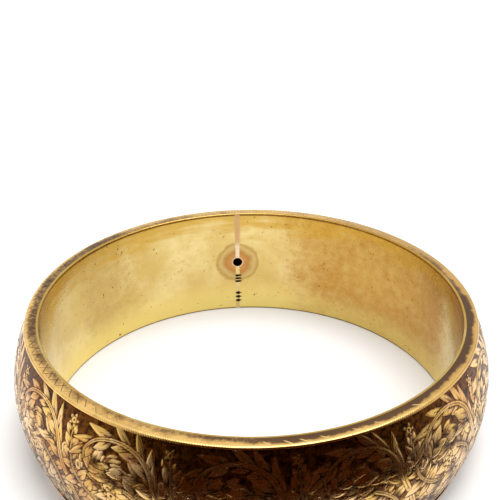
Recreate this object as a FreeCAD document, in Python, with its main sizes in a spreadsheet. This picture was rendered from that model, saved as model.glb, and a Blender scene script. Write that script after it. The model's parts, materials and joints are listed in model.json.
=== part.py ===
"""Hollow slip-on bangle: a plain inner liner, a domed outer shell and two edge rims, soldered together.

The bangle stands on its lower rim. Z runs up the wrist hole, and the origin is on the hole's axis at
the plane it stands on. The liner's butt seam and the vent hole drilled through it face +Y. Sizes are
millimetres.
"""

import FreeCAD
import Part
import Sketcher

import os

# Driving dimensions: alias, value, what it is. Every size below is worked out from these.
DIMENSIONS = [
    ("inner_radius", 31.0, "the wrist hole's radius"),
    ("band_height", 19.4, "width of the bangle along the wrist"),
    ("liner_wall", 0.35, "sheet of the inner liner"),
    ("liner_edge_round", 0.12, "rounding of the liner's two inner edges"),
    ("rim_width", 1.75, "the two edge rims, from the liner out to their lip"),
    ("rim_thickness", 0.4, "sheet of the two edge rims"),
    ("rim_lip_round", 0.25, "rounding of each rim's outer lip"),
    ("shell_inset", 0.25, "how far the shell's edge is set back under the rim's lip"),
    ("shell_crown", 2.55, "how far the dome rises from its edge to its crown"),
    ("shell_wall", 0.35, "sheet of the domed outer shell"),
    ("liner_seam_width", 0.7, "solder filling the liner's butt seam"),
    ("shell_seam_width", 0.3, "solder filling the shell's butt seam"),
    ("rim_seam_width", 0.25, "solder filling each rim's butt seam"),
    ("rim_seam_turn", 3.0, "degrees from the liner's seam round to the rims' seams"),
    ("solder_leg", 0.5, "leg of the solder fillets inside the four corners"),
    ("solder_gap", 0.05, "least space between the two fillets on one rim"),
    ("vent_radius", 0.85, "vent hole through the liner into the hollow"),
]

# Sizes that follow from the driving dimensions, as expressions on the sheet.
LINER_OUTSIDE = "(dims.inner_radius + dims.liner_wall)"
RIM_OUTSIDE = f"({LINER_OUTSIDE} + dims.rim_width)"
RIM_MIDDLE = f"({LINER_OUTSIDE} + dims.rim_width / 2)"
LOWER_SEAT = "dims.rim_thickness"
UPPER_SEAT = "(dims.band_height - dims.rim_thickness)"
MID_HEIGHT = "(dims.band_height / 2)"
SHELL_EDGE = f"({RIM_OUTSIDE} - dims.shell_inset)"
HALF_CHORD = f"({MID_HEIGHT} - dims.rim_thickness)"
DOME_ARC = f"(({HALF_CHORD}^2 + dims.shell_crown^2) / (2 * dims.shell_crown))"
DOME_CENTRE = f"({SHELL_EDGE} + dims.shell_crown - {DOME_ARC})"
DOME_ARC_INSIDE = f"({DOME_ARC} - dims.shell_wall)"
SHELL_EDGE_INSIDE = f"({DOME_CENTRE} + sqrt({DOME_ARC_INSIDE}^2 - {HALF_CHORD}^2))"
LEG = f"min(dims.solder_leg; ({SHELL_EDGE_INSIDE} - {LINER_OUTSIDE} - dims.solder_gap) / 2)"
LEG_HALF_CHORD = f"({HALF_CHORD} - {LEG})"
SHELL_INSIDE_AT_LEG = f"({DOME_CENTRE} + sqrt({DOME_ARC_INSIDE}^2 - {LEG_HALF_CHORD}^2))"

FULL_TURN = "360"
TO_BACK = FreeCAD.Rotation(FreeCAD.Vector(0, 0, 1), -90)  # turns a body's -X side to +Y
ORIGIN_POINT = (-1, 1)  # Sketcher's name for a sketch's origin
START, END, CENTRE = 1, 2, 3  # Sketcher's names for an edge's points
SAME = 1e-6  # millimetres within which two sizes count as one

doc = FreeCAD.newDocument("bangle")
subparts = []


def make_sheet():
    """Fills the spreadsheet that drives every size."""
    sheet = doc.addObject("Spreadsheet::Sheet", "dims")
    for row, (alias, value, meaning) in enumerate(DIMENSIONS, start=1):
        sheet.set(f"A{row}", meaning)
        sheet.set(f"B{row}", str(value))
        sheet.setAlias(f"B{row}", alias)
    doc.recompute()
    return sheet


def seam_angle(width, radius):
    """The angle in degrees that a seam of this width takes at this radius."""
    return f"({width} / {radius} * 180 / pi)"


def origin_plane(body, role):
    """One of the body's own origin planes or axes."""
    return next(feature for feature in body.Origin.OriginFeatures if feature.Role == role)


def new_body(label, turn=TO_BACK):
    """An empty body, turned about Z so that its -X side faces the way it should."""
    body = doc.addObject("PartDesign::Body", label)
    body.Label = label
    body.Placement = FreeCAD.Placement(FreeCAD.Vector(0, 0, 0), turn)
    subparts.append(body)
    return body


def new_sketch(body, name, role):
    """An empty sketch on one of the body's origin planes."""
    sketch = body.newObject("Sketcher::SketchObject", name)
    sketch.AttachmentSupport = [(origin_plane(body, role), "")]
    sketch.MapMode = "FlatFace"
    return sketch


def bind(sketch, kind, elements, start_value, expression):
    """Adds a dimension to the sketch and ties it to the sheet."""
    index = sketch.addConstraint(Sketcher.Constraint(kind, *elements, start_value))
    sketch.setExpression(f"Constraints[{index}]", expression)


def pin_point(sketch, edge, point, place, expressions):
    """Holds one point of an edge at a distance from the sketch's origin both ways."""
    for kind, value, expression in zip(("DistanceX", "DistanceY"), place, expressions):
        bind(sketch, kind, (*ORIGIN_POINT, edge, point), value, expression)


def evaluate(expression):
    """The number that an expression on the sheet stands for now."""
    return float(doc.getObject("dims").evalExpression(expression))


def polygon_sketch(body, corners, side):
    """A closed outline of straight lines, on the given X side. Each corner is (radius, height)."""
    sketch = new_sketch(body, f"{body.Label}_profile", "XZ_Plane")
    expressions = [(f"{side} * {radius}", height) for radius, height in corners]
    places = [tuple(evaluate(e) for e in pair) for pair in expressions]
    points = [FreeCAD.Vector(x, z, 0) for x, z in places]
    for start, end in zip(points, points[1:] + points[:1]):
        sketch.addGeometry(Part.LineSegment(start, end))
    count = len(corners)
    for edge in range(count):
        sketch.addConstraint(Sketcher.Constraint("Coincident", edge, END, (edge + 1) % count, START))
        pin_point(sketch, edge, START, places[edge], expressions[edge])
    return sketch


def dome_sketch(body, side):
    """The domed shell's section: two concentric arcs between the rims' inner faces."""
    sketch = new_sketch(body, f"{body.Label}_profile", "XZ_Plane")
    centre_expressions = (f"{side} * {DOME_CENTRE}", MID_HEIGHT)
    centre_x, centre_z = (evaluate(e) for e in centre_expressions)
    centre = FreeCAD.Vector(centre_x, centre_z, 0)
    half_chord = evaluate(HALF_CHORD)
    ends = []
    for edge, radius_expression in enumerate((DOME_ARC, DOME_ARC_INSIDE)):
        radius = evaluate(radius_expression)
        reach = side * (radius**2 - half_chord**2) ** 0.5
        low = centre + FreeCAD.Vector(reach, -half_chord, 0)
        crown = centre + FreeCAD.Vector(side * radius, 0, 0)
        high = centre + FreeCAD.Vector(reach, half_chord, 0)
        arc = Part.Arc(low, crown, high)
        sketch.addGeometry(arc)
        # An arc in a sketch runs anticlockwise, so on the -X side it starts at its upper end.
        ends.append((START, END) if side > 0 else (END, START))
        pin_point(sketch, edge, CENTRE, (centre_x, centre_z), centre_expressions)
        bind(sketch, "Radius", (edge,), radius, radius_expression)
        for point, height in zip(ends[edge], (LOWER_SEAT, UPPER_SEAT)):
            bind(sketch, "DistanceY", (*ORIGIN_POINT, edge, point), evaluate(height), height)
    for which, height in enumerate((LOWER_SEAT, UPPER_SEAT)):
        corners = []
        for edge in (0, 1):
            radius = evaluate((DOME_ARC, DOME_ARC_INSIDE)[edge])
            reach = side * (radius**2 - half_chord**2) ** 0.5
            corners.append(FreeCAD.Vector(centre_x + reach, evaluate(height), 0))
        line = sketch.addGeometry(Part.LineSegment(*corners))
        sketch.addConstraint(Sketcher.Constraint("Coincident", line, START, 0, ends[0][which]))
        sketch.addConstraint(Sketcher.Constraint("Coincident", line, END, 1, ends[1][which]))
    return sketch


def revolve(body, sketch, angle):
    """Turns the sketch about Z by the angle, evenly to both sides of the sketch."""
    solid = body.newObject("PartDesign::Revolution", f"{body.Label}_turned")
    solid.Profile = sketch
    solid.ReferenceAxis = (origin_plane(body, "Z_Axis"), [""])
    if angle == FULL_TURN:
        solid.Angle = float(FULL_TURN)
    else:
        solid.Midplane = True
        solid.setExpression("Angle", angle)
    sketch.Visibility = False
    doc.recompute()
    return solid


def round_edges(body, radius_alias, choose):
    """Rounds the body's circular edges that the choice accepts."""
    base = body.Tip
    names = [f"Edge{i}" for i, edge in enumerate(base.Shape.Edges, start=1)
             if isinstance(edge.Curve, Part.Circle) and choose(edge.Curve)]
    if not names:
        raise RuntimeError(f"{body.Label} has no edge to round")
    fillet = body.newObject("PartDesign::Fillet", f"{body.Label}_rounded")
    fillet.Base = (base, names)
    fillet.setExpression("Radius", f"dims.{radius_alias}")
    body.Tip = fillet
    doc.recompute()


def drill_vent(body):
    """Cuts the vent hole through the body's -X side at mid height."""
    sketch = new_sketch(body, f"{body.Label}_vent_circle", "YZ_Plane")
    height, radius = evaluate(MID_HEIGHT), evaluate("dims.vent_radius")
    sketch.addGeometry(Part.Circle(FreeCAD.Vector(0, height, 0), FreeCAD.Vector(0, 0, 1), radius))
    pin_point(sketch, 0, CENTRE, (0.0, height), ("0", MID_HEIGHT))
    bind(sketch, "Radius", (0,), radius, "dims.vent_radius")
    before = body.Shape.Volume
    pocket = body.newObject("PartDesign::Pocket", f"{body.Label}_vent")
    pocket.Profile = sketch
    pocket.setExpression("Length", RIM_OUTSIDE)
    sketch.Visibility = False
    doc.recompute()
    if body.Shape.Volume >= before:
        raise RuntimeError(f"the vent cut nothing from {body.Label}")


def at_height(circle, expression):
    """Whether a circular edge lies at this height."""
    return abs(circle.Center.z - evaluate(expression)) < SAME


def make_liner():
    """The plain inner band, open at its butt seam, with its inner edges rounded."""
    corners = [
        ("dims.inner_radius", "0"),
        (LINER_OUTSIDE, "0"),
        (LINER_OUTSIDE, "dims.band_height"),
        ("dims.inner_radius", "dims.band_height"),
    ]
    seam = seam_angle("dims.liner_seam_width", "dims.inner_radius")

    def inner(circle):
        return abs(circle.Radius - evaluate("dims.inner_radius")) < SAME

    liner = new_body("inner_liner")
    revolve(liner, polygon_sketch(liner, corners, 1), f"{FULL_TURN} - {seam}")
    round_edges(liner, "liner_edge_round", inner)
    drill_vent(liner)

    solder = new_body("liner_seam_solder")
    revolve(solder, polygon_sketch(solder, corners, -1), seam)
    round_edges(solder, "liner_edge_round", inner)
    drill_vent(solder)


def make_shell():
    """The domed outer sheet, open at its butt seam, and the solder that closes it."""
    seam = seam_angle("dims.shell_seam_width", SHELL_EDGE)
    shell = new_body("outer_shell")
    revolve(shell, dome_sketch(shell, 1), f"{FULL_TURN} - {seam}")
    solder = new_body("shell_seam_solder")
    revolve(solder, dome_sketch(solder, -1), seam)


def make_rim(name, low, high, lip):
    """One flat edge ring between two heights, its outer lip rounded at the height given, and its seam."""
    corners = [
        (LINER_OUTSIDE, low),
        (RIM_OUTSIDE, low),
        (RIM_OUTSIDE, high),
        (LINER_OUTSIDE, high),
    ]
    seam = seam_angle("dims.rim_seam_width", RIM_MIDDLE)
    turn = FreeCAD.Rotation(FreeCAD.Vector(0, 0, 1), evaluate("dims.rim_seam_turn") - 90)

    def outer_lip(circle):
        return at_height(circle, lip) and circle.Radius > evaluate(RIM_MIDDLE)

    for label, side, angle in ((name, 1, f"{FULL_TURN} - {seam}"), (f"{name}_seam_solder", -1, seam)):
        ring = new_body(label, turn)
        revolve(ring, polygon_sketch(ring, corners, side), angle)
        round_edges(ring, "rim_lip_round", outer_lip)


def make_fillets(name, seat, inwards):
    """The two solder fillets inside the hollow that hold one rim: to the liner and to the shell."""
    foot = f"({seat} {inwards} {LEG})"
    to_liner = [
        (LINER_OUTSIDE, seat),
        (f"({LINER_OUTSIDE} + {LEG})", seat),
        (LINER_OUTSIDE, foot),
    ]
    to_shell = [
        (SHELL_EDGE_INSIDE, seat),
        (f"({SHELL_EDGE_INSIDE} - {LEG})", seat),
        (SHELL_INSIDE_AT_LEG, foot),
    ]
    for label, corners in ((f"{name}_liner_solder", to_liner), (f"{name}_shell_solder", to_shell)):
        fillet = new_body(label)
        revolve(fillet, polygon_sketch(fillet, corners, 1), FULL_TURN)


def check_document():
    """Stops the build if any object failed or any sub-part isn't a sound solid."""
    for item in doc.Objects:
        if "Invalid" in item.State or "Error" in item.State:
            raise RuntimeError(f"{item.Label} failed: {item.State}")
    for body in subparts:
        if body.Shape.isNull() or not body.Shape.isValid() or not body.Shape.Solids:
            raise RuntimeError(f"{body.Label} isn't a sound solid")


def write_steps():
    """Writes each sub-part to parts/ under its own label."""
    os.makedirs("parts", exist_ok=True)
    for body in subparts:
        body.Shape.exportStep(f"parts/{body.Label}.step")
        box = body.Shape.optimalBoundingBox()
        print(f"{body.Label}: {len(body.Shape.Solids)} solid(s), {body.Shape.Volume:.2f} mm3, "
              f"{box.XLength:.2f} x {box.YLength:.2f} x {box.ZLength:.2f} mm")


make_sheet()
make_liner()
make_shell()
make_rim("upper_rim", UPPER_SEAT, "dims.band_height", "dims.band_height")
make_rim("lower_rim", "0", LOWER_SEAT, "0")
make_fillets("upper", UPPER_SEAT, "-")
make_fillets("lower", LOWER_SEAT, "+")
doc.recompute()
check_document()
write_steps()
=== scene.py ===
"""Engraved hollow gold bangle, standing on a pale floor in soft white light.

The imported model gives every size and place. The liner, the shell, the two rims and their solder
seams are replaced by worn and engraved sheets, and the solder fillets inside the hollow stay.
"""

import json
import logging
import math
from collections.abc import Callable, Sequence
from dataclasses import dataclass, field
from enum import Enum

import bpy
import numpy as np
from mathutils import Matrix, Vector


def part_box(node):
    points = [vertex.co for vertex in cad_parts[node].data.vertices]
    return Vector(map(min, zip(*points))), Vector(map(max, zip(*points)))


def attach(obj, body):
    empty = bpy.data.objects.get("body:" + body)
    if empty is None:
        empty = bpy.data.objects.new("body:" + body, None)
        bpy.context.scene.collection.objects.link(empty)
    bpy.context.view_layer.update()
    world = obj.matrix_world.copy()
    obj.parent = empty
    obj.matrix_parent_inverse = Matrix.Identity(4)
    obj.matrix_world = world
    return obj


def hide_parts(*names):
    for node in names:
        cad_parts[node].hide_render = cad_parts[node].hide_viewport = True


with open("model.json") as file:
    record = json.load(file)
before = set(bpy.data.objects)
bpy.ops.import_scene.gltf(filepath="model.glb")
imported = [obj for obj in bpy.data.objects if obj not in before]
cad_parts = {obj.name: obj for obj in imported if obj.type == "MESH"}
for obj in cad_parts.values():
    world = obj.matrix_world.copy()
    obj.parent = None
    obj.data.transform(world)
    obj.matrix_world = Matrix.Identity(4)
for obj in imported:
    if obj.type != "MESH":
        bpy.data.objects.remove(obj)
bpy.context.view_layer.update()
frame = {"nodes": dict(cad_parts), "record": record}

LOG = logging.getLogger("bangle")

MM = 0.001
UP = Vector((0.0, 0.0, 1.0))
BODY = "root"
SEAM_ANGLE = math.pi / 2  # the seams face +Y
SEAM_STEPS = 5  # columns across the narrow seams

Colour = tuple[float, float, float]
Point = tuple[float, float]


class Slot(Enum):
    """The record's material slots."""

    LINER = "liner_gold"
    SHELL = "shell_gold"
    RIM = "rim_gold"
    SOLDER = "gold_solder"


class Side(Enum):
    """Which side of a stem a leaf grows on, seen along the stem."""

    LEFT = 1
    RIGHT = -1


def smooth_step(low: float, high: float, value: np.ndarray) -> np.ndarray:
    """Rises smoothly from 0 at low to 1 at high.

    Args:
        low: Where the step starts.
        high: Where the step ends.
        value: The numbers to step.

    Returns:
        The stepped numbers, from 0 to 1.
    """
    share = np.clip((value - low) / (high - low), 0.0, 1.0)
    return share * share * (3.0 - 2.0 * share)


def smooth_path(points: Sequence[Point], per_span: int = 10) -> np.ndarray:
    """A smooth curve through given points.

    Args:
        points: The points the curve passes through.
        per_span: How many steps each span is cut into.

    Returns:
        An array of points along the curve, two numbers each.
    """
    knots = np.asarray(points, float)
    before = 2 * knots[0] - knots[1]
    after = 2 * knots[-1] - knots[-2]
    knots = np.vstack([before, knots, after])
    share = np.linspace(0.0, 1.0, per_span, endpoint=False)[:, None]
    spans = []
    for a, b, c, d in zip(knots, knots[1:], knots[2:], knots[3:]):
        spans.append(
            0.5 * (2 * b + (c - a) * share + (2 * a - 5 * b + 4 * c - d) * share**2
                   + (3 * b - a - 3 * c + d) * share**3)
        )
    return np.vstack([*spans, knots[-2]])


@dataclass(frozen=True)
class Sizes:
    """The bangle's sizes in metres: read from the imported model, or else matching the part's own."""

    inner_radius: float
    liner_outside: float
    rim_outside: float
    rim_thickness: float
    crown_radius: float
    height: float
    shell_low: float
    shell_high: float
    shell_setback: float = 0.25 * MM
    shell_wall: float = 0.35 * MM
    liner_seam: float = 0.7 * MM
    shell_seam: float = 0.3 * MM
    rim_seam: float = 0.25 * MM
    rim_seam_turn: float = math.radians(3.0)
    vent_radius: float = 0.85 * MM

    @classmethod
    def from_frame(cls) -> "Sizes":
        """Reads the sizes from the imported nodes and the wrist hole's mount.

        Returns:
            The sizes.
        """
        liner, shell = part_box("inner_liner"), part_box("outer_shell")
        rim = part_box("upper_rim")
        hole = next(m for m in frame["record"]["mounts"] if m["name"] == "wrist_hole")
        return cls(
            inner_radius=hole["dims"]["r_mm"] * MM,
            liner_outside=liner[1][0],
            rim_outside=rim[1][0],
            rim_thickness=rim[1][2] - rim[0][2],
            crown_radius=shell[1][0],
            height=liner[1][2],
            shell_low=shell[0][2],
            shell_high=shell[1][2],
        )

    @property
    def shell_edge(self) -> float:
        """The dome's radius at its two edges."""
        return self.rim_outside - self.shell_setback

    @property
    def half_chord(self) -> float:
        """Half the dome's height."""
        return (self.shell_high - self.shell_low) / 2

    @property
    def dome_arc(self) -> float:
        """The radius of the dome's arched section."""
        rise = self.crown_radius - self.shell_edge
        return (self.half_chord**2 + rise**2) / (2 * rise)

    @property
    def dome_reach(self) -> float:
        """Half the angle that the dome's arched section covers."""
        return math.asin(self.half_chord / self.dome_arc)

    @property
    def middle(self) -> float:
        """The height of the band's middle."""
        return self.height / 2


class Nodes:
    """Adds shader nodes to one material and joins them."""

    def __init__(self, name: str) -> None:
        """Makes an empty metal material.

        Args:
            name: The material's name.
        """
        self.material = bpy.data.materials.new(name)
        self.material.use_nodes = True
        self.tree = self.material.node_tree
        self.shader = self.tree.nodes["Principled BSDF"]
        self.place = self.add("ShaderNodeTexCoord").outputs["Object"]

    def add(self, kind: str, **settings: object) -> bpy.types.Node:
        """A new node with its settings.

        Args:
            kind: Blender's name for the node type.
            settings: The node's own properties.

        Returns:
            The node.
        """
        node = self.tree.nodes.new(kind)
        for key, value in settings.items():
            setattr(node, key, value)
        return node

    def feed(self, socket: bpy.types.NodeSocket, source: object) -> None:
        """Links a socket to another's output, or sets it to a plain value."""
        if isinstance(source, bpy.types.NodeSocket):
            self.tree.links.new(source, socket)
        else:
            socket.default_value = source

    def math(self, how: str, *terms: object, clamp: bool = False) -> bpy.types.NodeSocket:
        """One step of arithmetic.

        Args:
            how: Blender's name for the operation.
            terms: Sockets or numbers.
            clamp: Keeps the result between 0 and 1.

        Returns:
            The result's socket.
        """
        node = self.add("ShaderNodeMath", operation=how, use_clamp=clamp)
        for socket, term in zip(node.inputs, terms):
            self.feed(socket, term)
        return node.outputs[0]

    def times(self, first: object, second: object) -> bpy.types.NodeSocket:
        """One value times another."""
        return self.math("MULTIPLY", first, second)

    def plus(self, first: object, second: object) -> bpy.types.NodeSocket:
        """One value plus another."""
        return self.math("ADD", first, second)

    def minus(self, first: object, second: object) -> bpy.types.NodeSocket:
        """One value less another."""
        return self.math("SUBTRACT", first, second)

    def between(self, value: object, low: float, high: float, soft: float) -> bpy.types.NodeSocket:
        """1 from low to high, fading to 0 over the soft width beyond each."""
        return self.times(self.ramp(value, low - soft, low), self.ramp(value, high + soft, high))

    def ramp(self, value: object, low: float, high: float, start: float = 0.0,
             end: float = 1.0) -> bpy.types.NodeSocket:
        """A smooth step from start to end as the value goes from low to high.

        Args:
            value: What the step follows.
            low: The value where it starts.
            high: The value where it ends.
            start: The result below low.
            end: The result above high.

        Returns:
            The result's socket.
        """
        node = self.add("ShaderNodeMapRange", interpolation_type="SMOOTHSTEP")
        for socket, term in zip(node.inputs, (value, low, high, start, end)):
            self.feed(socket, term)
        return node.outputs[0]

    def noise(self, per_mm: float, detail: float = 3.0, rough: float = 0.55,
              stretch: Sequence[float] = (1, 1, 1)) -> bpy.types.NodeSocket:
        """Soft noise fixed to the piece.

        Args:
            per_mm: Blobs to the millimetre.
            detail: How many finer layers it has.
            rough: How strong the finer layers are.
            stretch: How much it is squeezed along each axis.

        Returns:
            The noise's value, near 0.5.
        """
        spread = self.add("ShaderNodeVectorMath", operation="MULTIPLY")
        self.feed(spread.inputs[0], self.place)
        spread.inputs[1].default_value = tuple(stretch)
        node = self.add("ShaderNodeTexNoise")
        self.feed(node.inputs["Vector"], spread.outputs[0])
        node.inputs["Scale"].default_value = per_mm / MM
        node.inputs["Detail"].default_value = detail
        node.inputs["Roughness"].default_value = rough
        return node.outputs[0]

    def blend(self, share: object, first: object, second: object) -> bpy.types.NodeSocket:
        """Mixes two colours.

        Args:
            share: How much of the second colour shows.
            first: The colour at 0.
            second: The colour at 1.

        Returns:
            The mixed colour's socket.
        """
        node = self.add("ShaderNodeMix", data_type="RGBA")
        self.feed(node.inputs["Factor"], share)
        for key, colour in (("A", first), ("B", second)):
            socket = next(s for s in node.inputs if s.identifier == f"{key}_Color")
            self.feed(socket, (*colour, 1.0) if isinstance(colour, tuple) else colour)
        return next(s for s in node.outputs if s.identifier == "Result_Color")

    def layer(self, name: str) -> bpy.types.NodeSocket:
        """A value that the mesh carries on its points."""
        return self.add("ShaderNodeAttribute", attribute_name=name).outputs["Fac"]

    def axes(self) -> tuple[bpy.types.NodeSocket, ...]:
        """The piece's own x, y and z, in metres.

        Returns:
            The three sockets.
        """
        parts = self.add("ShaderNodeSeparateXYZ")
        self.feed(parts.inputs[0], self.place)
        return tuple(parts.outputs)

    def bump(self, *layers: tuple[object, float]) -> None:
        """Stacks bumps on the shader's normal.

        Args:
            layers: Pairs of a height from 0 to 1 and how tall it is in metres.
        """
        normal = None
        for height, tall in layers:
            node = self.add("ShaderNodeBump")
            node.inputs["Distance"].default_value = tall
            self.feed(node.inputs["Height"], height)
            if normal is not None:
                self.feed(node.inputs["Normal"], normal)
            normal = node.outputs[0]
        self.feed(self.shader.inputs["Normal"], normal)

    def metal(self, colour: object, roughness: object) -> bpy.types.Material:
        """Finishes the material as bare metal.

        Args:
            colour: The metal's colour.
            roughness: How dull it is.

        Returns:
            The material.
        """
        self.shader.inputs["Metallic"].default_value = 1.0
        self.feed(self.shader.inputs["Base Color"], colour)
        self.feed(self.shader.inputs["Roughness"], roughness)
        return self.material


@dataclass(frozen=True)
class EngravedGold:
    """Bright leaves over a cut ground that has darkened to brown."""

    leaf: Colour = (0.84, 0.56, 0.25)
    straw: Colour = (0.74, 0.47, 0.13)
    copper: Colour = (0.44, 0.16, 0.03)
    ground: Colour = (0.17, 0.055, 0.006)
    soot: Colour = (0.03, 0.009, 0.002)

    def material(self) -> bpy.types.Material:
        """The finish as a material that reads the sheet's polish layer.

        Returns:
            The material.
        """
        nodes = Nodes("engraved_gold")
        # This layer is 0 on the dark cut ground and also carries a painted shade at the feet of the lobes.
        polish_and_shade = nodes.layer("polish_and_shade")
        grime = nodes.noise(1.3, detail=5.0, rough=0.7)
        stipple = nodes.noise(4.0, detail=2.0, rough=0.8)
        low = nodes.blend(nodes.ramp(grime, 0.38, 0.62), self.soot, self.ground)
        warm = nodes.blend(nodes.ramp(nodes.noise(0.3), 0.4, 0.62), self.leaf, self.straw)
        broad, fine = nodes.noise(0.14), nodes.noise(0.75, detail=4.0)
        warm = nodes.blend(nodes.ramp(broad, 0.50, 0.72, 0.0, 0.7), warm, self.copper)
        warm = nodes.blend(nodes.ramp(fine, 0.50, 0.76, 0.0, 0.75), warm, self.copper)
        worn = nodes.plus(polish_and_shade, nodes.times(grime, 0.24))
        shown = nodes.ramp(worn, 0.30, 0.95)
        colour = nodes.blend(shown, low, warm)
        dull = nodes.plus(nodes.ramp(shown, 0.0, 1.0, 0.30, 0.12), nodes.times(grime, 0.08))
        pitted = nodes.times(stipple, nodes.minus(1.0, shown))
        nodes.bump((pitted, 0.03 * MM), (nodes.noise(0.9, detail=2.0), 0.010 * MM))
        return nodes.metal(colour, dull)


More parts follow.
